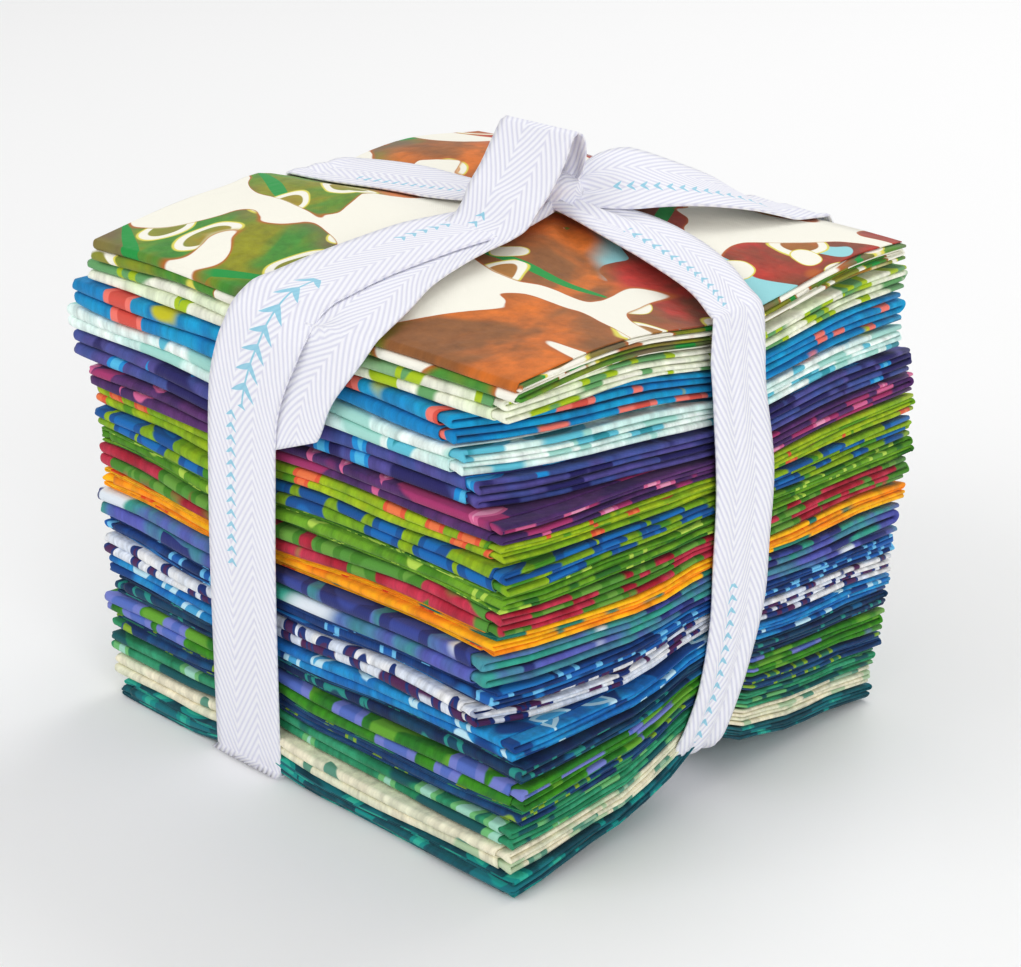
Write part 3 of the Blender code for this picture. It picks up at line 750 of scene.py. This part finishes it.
RECIPES = {recipe.name: recipe for recipe in PRINTS}
above = 1.0
for number, quarter in enumerate(QUARTERS, start=1):
    below = max(above - quarter.thick / STACK_TOTAL, 0.0)
    if number == 1:
        material = sunset_material(number)
    else:
        material = print_material(RECIPES[quarter.name], number)
    piece = make_cloth(number, quarter, below, above, material)
    print(piece.name, len(piece.data.polygons), "faces")
    above = below

# %% [markdown]
# ## The ribbon
# One length of white herringbone twill ties the stack: it crosses under the bundle, is
# knotted on top, and leaves two free ends. It lies flat on the cloth, gathers into pleats
# at the knot, and stands up in a soft fold before one end falls over the front.
# Its route is a short list of sections, and a smooth curve runs through them.

# %% The ribbon's route
# Each section: x, y and z in millimetres, the share of its width that lies open, and the
# degrees that this width is turned from the front's direction and leans up.
FRONT_WRAP = (
    (9.5, 9.0, 139.5, 0.36, 0, 0), (8.8, 0.0, 138.6, 0.60, 0, 0), (7.0, -10.0, 137.8, 0.88, 0, 0),
    (4.6, -25.0, 137.2, 1.0, 0, 0), (3.4, -38.0, 136.2, 1.0, 0, 0), (2.8, -52.0, 135.0, 1.0, 2, 0),
    (2.4, -63.0, 133.4, 1.0, 3, -1), (1.9, -69.5, 132.2, 1.0, 3, -3),
    (0.9, -73.2, 129.2, 1.0, 0, -8), (-1.8, -74.9, 124.2, 1.0, 0, -15),
    (-4.8, -75.0, 119.0, 1.0, 0, -19), (-8.8, -74.8, 112.0, 1.0, 0, -19),
    (-13.0, -74.2, 101.0, 1.0, 0, -14), (-15.8, -73.2, 82.0, 1.0, 0, -6),
    (-17.6, -72.8, 58.0, 1.0, 0, -2), (-18.5, -72.6, 30.0, 1.0, 0, 0),
    (-18.5, -72.8, 6.0, 1.0, 0, 0), (-18.5, -72.4, 1.6, 1.0, 0, 0), (-18.5, -69.0, 1.0, 1.0, 0, 0),
    (-18.5, 0.0, 1.0, 1.0, 0, 0), (-18.5, 71.0, 1.0, 1.0, 0, 0), (-18.5, 75.4, 1.6, 1.0, 0, 0),
    (-18.5, 76.0, 6.0, 1.0, 0, 0), (-17.0, 76.0, 40.0, 1.0, 0, 2), (-11.0, 76.0, 80.0, 1.0, 0, 6),
    (-3.0, 76.0, 110.0, 1.0, 0, 8), (1.0, 75.0, 128.0, 1.0, 0, 8), (3.0, 70.0, 131.8, 1.0, -5, 0),
    (5.0, 58.0, 134.4, 1.0, -5, 0), (6.5, 44.0, 137.2, 1.0, -5, 0), (8.0, 30.0, 138.0, 0.92, -5, 0),
    (9.0, 20.0, 139.0, 0.60, 0, 0), (9.5, 13.0, 140.0, 0.36, 0, 0),
)
SIDE_WRAP = (
    (10.0, 10.5, 140.5, 0.36, 90, 0), (19.0, 12.5, 139.2, 0.56, 90, 0),
    (30.0, 15.0, 136.8, 0.80, 88, 0), (46.0, 14.4, 133.6, 0.90, 96, 0),
    (62.0, 9.5, 131.4, 0.92, 104, 0), (74.0, 3.0, 129.4, 0.90, 104, 0),
    (78.6, 1.2, 127.6, 0.84, 96, -4), (79.8, 0.4, 118.0, 0.80, 90, -2),
    (80.6, 0.6, 108.0, 0.78, 90, 0), (80.9, 3.4, 86.0, 0.87, 90, 0), (80.8, 3.2, 66.0, 0.86, 90, 0),
    (80.6, 2.8, 50.0, 0.84, 90, 0), (79.8, 0.0, 34.0, 0.76, 90, -4),
    (78.8, -3.0, 24.0, 0.74, 90, -8), (77.6, -5.6, 17.0, 0.74, 90, -12),
    (75.0, -5.6, 13.0, 0.74, 90, -8), (68.0, -4.0, 9.0, 0.76, 90, -4),
    (56.0, 0.0, 4.0, 0.88, 90, 0), (20.0, 5.0, 1.0, 1.0, 90, 0), (-1.0, 5.0, 1.0, 1.0, 90, 0),
    (-5.0, 5.0, 2.4, 1.0, 90, 0), (-32.0, 5.0, 2.4, 1.0, 90, 0), (-36.0, 5.0, 1.0, 1.0, 90, 0),
    (-56.0, 5.0, 1.0, 1.0, 90, 0), (-74.0, 5.0, 2.2, 0.88, 90, 0), (-77.8, 5.0, 5.4, 0.88, 90, 0),
    (-77.8, 5.0, 40.0, 1.0, 90, 0), (-77.8, 6.0, 90.0, 1.0, 90, 0),
    (-78.0, 8.0, 129.0, 0.90, 90, 0), (-73.0, 9.0, 131.6, 0.84, 88, 0),
    (-56.0, 10.0, 132.6, 0.76, 88, 0), (-38.0, 10.5, 134.2, 0.72, 88, 0),
    (-18.0, 10.5, 136.4, 0.68, 89, 0), (-4.0, 10.8, 138.6, 0.52, 90, 0),
    (8.5, 11.0, 140.5, 0.36, 90, 0),
)
FRONT_TAIL = (
    (9.0, 13.0, 140.5, 0.40, 0, 0), (7.0, 16.5, 146.0, 0.68, 0, 0), (5.0, 16.0, 153.0, 0.92, 0, 0),
    (4.5, 13.5, 157.0, 1.0, 0, 0), (4.5, 10.5, 157.0, 1.0, 0, 0), (5.5, 6.0, 152.0, 1.0, 0, -5),
    (8.0, -3.0, 145.2, 1.0, -4, -8), (11.0, -15.0, 140.8, 1.0, -10, -6),
    (12.4, -32.0, 136.9, 1.0, -12, -1), (15.0, -47.0, 134.4, 1.0, -8, 2),
    (19.5, -60.0, 132.4, 1.0, -4, 1), (21.7, -69.8, 130.7, 1.0, 0, -1),
    (20.5, -72.6, 128.8, 1.0, 0, -5), (16.2, -73.5, 124.5, 1.0, 0, -18),
    (7.2, -73.5, 114.0, 1.0, 0, -20), (2.6, -73.4, 103.5, 1.0, 0, -6),
    (0.9, -73.3, 93.4, 1.0, 0, 22),
)
BACK_TAIL = (
    (11.0, 14.0, 142.0, 0.40, 120, 30), (15.0, 20.0, 143.6, 0.72, 132, 30),
    (21.0, 29.0, 143.6, 1.0, 138, 22), (27.5, 40.0, 141.4, 1.0, 146, 12),
    (33.0, 54.0, 136.8, 1.0, 155, 5), (37.0, 66.0, 131.0, 1.0, 165, 0),
    (39.0, 73.4, 128.6, 1.0, 175, 0), (40.0, 76.4, 122.0, 1.0, 180, 0),
    (41.0, 76.6, 112.0, 1.0, 180, 8),
)

# %% A stretch of ribbon
STEP_MM = 2.0          # between one row of points and the next along the ribbon
ACROSS_STEPS = 12
PLEATS, PLEAT_DEPTH = 3, 2.2
SPRING = 0.5           # how strongly a section's direction follows its neighbours


def through(values, at):
    """A smooth curve through numbered rows, read at fractional row numbers."""
    count = len(values)
    i = np.clip(np.floor(at).astype(int), 0, count - 2)
    u = (at - i)[:, None]
    before, one = values[np.maximum(i - 1, 0)], values[i]
    other, after = values[i + 1], values[np.minimum(i + 2, count - 1)]
    start, end = (other - before) * SPRING, (after - one) * SPRING
    ease = u * u * (3 - 2 * u)
    return one + (other - one) * ease + start * u * (1 - u) ** 2 - end * u * u * (1 - u)


def ribbon_strip(sections, rise):
    """Points of one stretch of ribbon, its flat coordinates and its length."""
    rows = np.array(sections, dtype=float)
    steps = np.linalg.norm(np.diff(rows[:, :3], axis=0), axis=1)
    reach = np.concatenate([[0.0], np.cumsum(steps)])
    count = max(int(reach[-1] / STEP_MM), 4)
    at = np.interp(np.linspace(0, reach[-1], count + 1), reach, np.arange(len(rows)))
    curve = through(rows, at)
    centre, spread = curve[:, :3], np.clip(curve[:, 3], 0.3, 1.0)
    turn, lean = np.radians(curve[:, 4]), np.radians(curve[:, 5])
    across = np.stack([np.cos(turn) * np.cos(lean), np.sin(turn) * np.cos(lean), np.sin(lean)], axis=1)
    along = np.gradient(centre, axis=0)
    outward = np.cross(along, across)
    outward /= np.linalg.norm(outward, axis=1)[:, None]
    u = np.linspace(-0.5, 0.5, ACROSS_STEPS + 1)
    pleats = (1 - spread)[:, None] * PLEAT_DEPTH * np.cos(2 * math.pi * PLEATS * u)[None, :]
    sideways = across[:, None, :] * (RIBBON_WIDTH * spread[:, None] * u[None, :])[:, :, None]
    points = centre[:, None, :] + sideways + outward[:, None, :] * (pleats + rise)[:, :, None]
    length = float(np.linalg.norm(np.diff(centre, axis=0), axis=1).sum())
    run = np.concatenate([[0.0], np.cumsum(np.linalg.norm(np.diff(centre, axis=0), axis=1))])
    flat = np.stack(np.broadcast_arrays((u * RIBBON_WIDTH)[None, :], run[:, None]), axis=-1)
    return points, flat, length


# %% Laying it on the cloth
def lay_on_cloth(points, clearance):
    """Lift any point that would lie inside the top of the stack, and lower one inside its base."""
    x, y, z = (points[..., k] for k in range(3))
    over = (np.abs(x) < WIDTH / 2 + 1) & (np.abs(y) < DEPTH / 2 + 0.5) & (z > HEIGHT - 6)
    under = (np.abs(x) < WIDTH / 2) & (np.abs(y) < DEPTH / 2) & (z < 16)
    top = stack_height(np.ones(x.shape), x, y) + clearance
    base = stack_height(np.zeros(x.shape), x, y) - clearance - RIBBON_THICK
    z = np.where(over, np.maximum(z, top), z)
    z = np.where(under, np.minimum(z, base), z)
    points[..., 2] = np.maximum(z, 0.1)
    return points


TOP_LEVEL = HEIGHT - 3.0   # above this, a point of the ribbon counts as lying on top
TUCK_WIDTH, TUCK_EDGE = 8.0, 9.0  # how softly the tail goes down, and how far beyond the band
ABOVE_BAND, BELOW_BAND = 0.7, -0.85


def height_beside(x, y, band):
    """The height of the ribbon's nearest points on top of the stack."""
    near = band[(band[..., 2] > TOP_LEVEL) & (band[..., 1] < 0)]
    gap = (x[..., None] - near[:, 0]) ** 2 + (y[..., None] - near[:, 1]) ** 2
    weight = np.exp((gap.min(axis=-1, keepdims=True) - gap) / 3.0)
    return (weight * near[:, 2]).sum(axis=-1) / weight.sum(axis=-1)


def tuck_under(points, band):
    """On its way to the front edge the tail's left part slips from above the band to below it."""
    middle = band[:, ACROSS_STEPS // 2]
    middle = middle[(middle[:, 2] > TOP_LEVEL) & (middle[:, 1] < 0)][::-1]
    x, y, z = (points[..., k] for k in range(3))
    band_x = np.interp(y, middle[:, 1], middle[:, 0])
    share = np.clip((band_x + RIBBON_WIDTH / 2 + TUCK_EDGE - x) / TUCK_WIDTH, 0, 1)
    share = share * np.clip((-6.0 - y) / TUCK_WIDTH, 0, 1) * (z > TOP_LEVEL)
    lift = np.interp(y, (-21.0, -14.0), (BELOW_BAND, ABOVE_BAND))
    points[..., 2] = z + share * share * (3 - 2 * share) * (height_beside(x, y, band) + lift - z)
    return points


# %% The four stretches
STRETCHES = (("front_wrap", FRONT_WRAP, 1.35), ("side_wrap", SIDE_WRAP, 0.5),
             ("front_tail", FRONT_TAIL, 0.6), ("back_tail", BACK_TAIL, 0.8))
strips = []
start = 0.0
for title, sections, clearance in STRETCHES:
    points, flat, length = ribbon_strip(sections, 0.0)
    flat[..., 1] += start
    start += length
    if title == "front_tail":
        points = tuck_under(points, front_band)
    points = lay_on_cloth(points, clearance)
    if title == "front_wrap":
        front_band = points
    strips.append(grid_object(f"ribbon_{title}", points, flat, RIBBON_THICK, 1.0))
    print(title, round(length), "mm")

# %% [markdown]
# ## The twill
# Herringbone twill has ridges that slope steeply one way and then the other, in broad
# columns. On a white ribbon they show only as light and shade, so they are a bump, and
# the furrows get a faint grey in the colour as painted shade. Runs of small pale blue leaves
# are printed along it, and one sprig with larger leaves where the ribbon turns over the front.

# %% The twill
COLUMN, RIDGE, RIDGE_TURN = 0.0083, 0.0015, math.radians(30.0)
LEAF_STEP, LEAF_REACH, LEAF_THICK, LEAF_SLOPE, LEAF_ASIDE = 0.0034, 0.0021, 0.0007, 0.8, 0.0036
RUN_EVERY, RUN_LENGTH = 0.118, 0.044
SPRIG_START, SPRIG_END, SPRIG_STEP, SPRIG_REACH, SPRIG_THICK = 0.072, 0.117, 0.0064, 0.0044, 0.0012
STEM_THICK = 0.0003
RIDGE_HEIGHT, RIDGE_STRENGTH = 0.0003, 0.5


def leaf_mask(tree, along, aside, step, reach, thick):
    """Pairs of slanting leaves, one pair to each step along the ribbon."""
    from_stem = maths(tree, "ABSOLUTE", aside)
    within = maths(tree, "FRACT", over(tree, along, step))
    centred = times(tree, minus(tree, within, 0.25), step)
    off = maths(tree, "ABSOLUTE", minus(tree, centred, times(tree, from_stem, LEAF_SLOPE)))
    share = over(tree, from_stem, reach)
    full = minus(tree, 1.0, times(tree, share, share))
    inside = minus(tree, times(tree, full, thick), off)
    return soft_step(tree, inside, 0.0, 0.00015)


def between(tree, value, low, high):
    return times(tree, maths(tree, "GREATER_THAN", value, low),
                 maths(tree, "LESS_THAN", value, high))


def twill_material():
    material, tree, shader = fabric_shader("white_twill", 0.7)
    at = add_node(tree, "ShaderNodeSeparateXYZ", Vector=on_cloth(tree))
    aside, along = at.outputs[0], at.outputs[1]
    zigzag = maths(tree, "PINGPONG", plus(tree, aside, 1.0), COLUMN)
    slanted = plus(tree, times(tree, zigzag, math.cos(RIDGE_TURN)),
                   times(tree, along, math.sin(RIDGE_TURN)))
    ridge = over(tree, maths(tree, "PINGPONG", slanted, RIDGE / 2), RIDGE / 2)
    rounded = soft_step(tree, ridge, 0.0, 0.8)
    # painted shade: the colour is a lavender grey in the furrows between ridges and near white on the
    # ridge tops
    colour = mix_colour(tree, rounded, linear((0.86, 0.86, 0.92)), linear((0.95, 0.95, 0.97)))

    small = leaf_mask(tree, along, plus(tree, aside, LEAF_ASIDE), LEAF_STEP, LEAF_REACH,
                      LEAF_THICK)
    run = maths(tree, "FRACT", over(tree, along, RUN_EVERY))
    small = times(tree, small, maths(tree, "LESS_THAN", run, RUN_LENGTH / RUN_EVERY))
    big = leaf_mask(tree, along, aside, SPRIG_STEP, SPRIG_REACH, SPRIG_THICK)
    stem = maths(tree, "LESS_THAN", maths(tree, "ABSOLUTE", aside), STEM_THICK)
    sprig = maths(tree, "MAXIMUM", stem, big)
    in_sprig = between(tree, along, SPRIG_START, SPRIG_END)
    printed = plus(tree, times(tree, sprig, in_sprig),
                    times(tree, small, minus(tree, 1.0, in_sprig)))
    colour = mix_colour(tree, times(tree, printed, 0.8), colour,
                        linear((0.48, 0.78, 0.87)))
    tree.links.new(colour, shader.inputs["Base Color"])
    add_bump(tree, shader, times(tree, rounded, RIDGE_HEIGHT), RIDGE_STRENGTH)
    return material


twill = twill_material()
for strip in strips:
    strip.data.materials.append(twill)

# %% The knot
KNOT_SIZE = Vector((8.0, 7.0, 5.0))
KNOT_RINGS, KNOT_POINTS = 20, 64
KNOT_PLEATS, KNOT_PLEAT_DEPTH, KNOT_TURN = 11, 0.10, math.radians(25.0)


def make_knot():
    """The knot: a turn of ribbon pulled tight, so its pleats run round the gathered middle."""
    rings = np.linspace(0.02, math.pi - 0.02, KNOT_RINGS)[:, None]
    round_it = np.linspace(0, 2 * math.pi, KNOT_POINTS + 1)[None, :]
    swirl = KNOT_PLEATS * rings + 1.5 * np.sin(2 * round_it)
    pleat = 1 - KNOT_PLEAT_DEPTH * (0.5 + 0.5 * np.cos(swirl))
    waist = 1 - 0.12 * np.cos(2 * round_it)
    x = -np.cos(rings) * KNOT_SIZE.x + 0 * round_it
    y = np.sin(rings) * np.cos(round_it) * KNOT_SIZE.y * pleat * waist
    z = np.sin(rings) * np.sin(round_it) * KNOT_SIZE.z * pleat
    turned = np.stack([x * math.cos(KNOT_TURN) - y * math.sin(KNOT_TURN),
                       x * math.sin(KNOT_TURN) + y * math.cos(KNOT_TURN), z], axis=-1)
    flat = np.stack(np.broadcast_arrays(rings * 8.0, round_it * 6.0), axis=-1)
    return grid_object("ribbon_knot", turned + np.array(KNOT), flat, RIBBON_THICK, -1.0)


knot = make_knot()
knot.data.materials.append(twill)

bpy.ops.object.select_all(action="DESELECT")
for strip in strips:
    strip.select_set(True)
bpy.context.view_layer.objects.active = strips[0]
bpy.ops.object.join()
ribbon = strips[0]
ribbon.name = "twill_ribbon"
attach(ribbon, "root")
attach(knot, "root")
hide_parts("ribbon")

# %% [markdown]
# ## Floor and light
# A plain pale floor and broad soft lamps, as in a product studio: a large key from the
# front left, a fill from the right, and a bright even world.

# %% Floor and light
FLOOR_SIZE = 12.0
bpy.ops.mesh.primitive_plane_add(size=FLOOR_SIZE, location=(0.0, 0.0, 0.0))
floor = bpy.context.object
floor.name = "floor"
floor_material = bpy.data.materials.new("pale_floor")
floor_material.use_nodes = True
floor_shader = floor_material.node_tree.nodes["Principled BSDF"]
floor_shader.inputs["Base Color"].default_value = (0.92, 0.92, 0.92, 1.0)
floor_shader.inputs["Roughness"].default_value = 0.9
floor.data.materials.append(floor_material)

Lamp = namedtuple("Lamp", "name x y z size watts")
LAMPS = (
    Lamp("key", -0.5, -1.2, 1.1, 0.9, 4.8),
    Lamp("fill", 1.4, -0.7, 0.7, 1.0, 7.0),
    Lamp("rim", -0.2, 1.2, 1.4, 1.0, 8.0),
)
for row in LAMPS:
    data = bpy.data.lights.new(row.name, "AREA")
    data.size = row.size
    data.energy = row.watts
    lamp = bpy.data.objects.new(row.name, data)
    lamp.location = (row.x, row.y, row.z)
    lamp.rotation_euler = (lamp.location - Vector((0.0, 0.0, 0.07))).to_track_quat("Z", "Y").to_euler()
    bpy.context.scene.collection.objects.link(lamp)

world = bpy.data.worlds.new("studio")
bpy.context.scene.world = world
world.use_nodes = True
world.node_tree.nodes["Background"].inputs["Color"].default_value = (1.0, 1.0, 1.0, 1.0)
world.node_tree.nodes["Background"].inputs["Strength"].default_value = 0.54
bpy.context.scene.view_settings.view_transform = "Standard"
bpy.context.scene.view_settings.look = "Medium High Contrast"
print("lamps:", ", ".join(row.name for row in LAMPS))

# %% The end
bpy.context.view_layer.update()
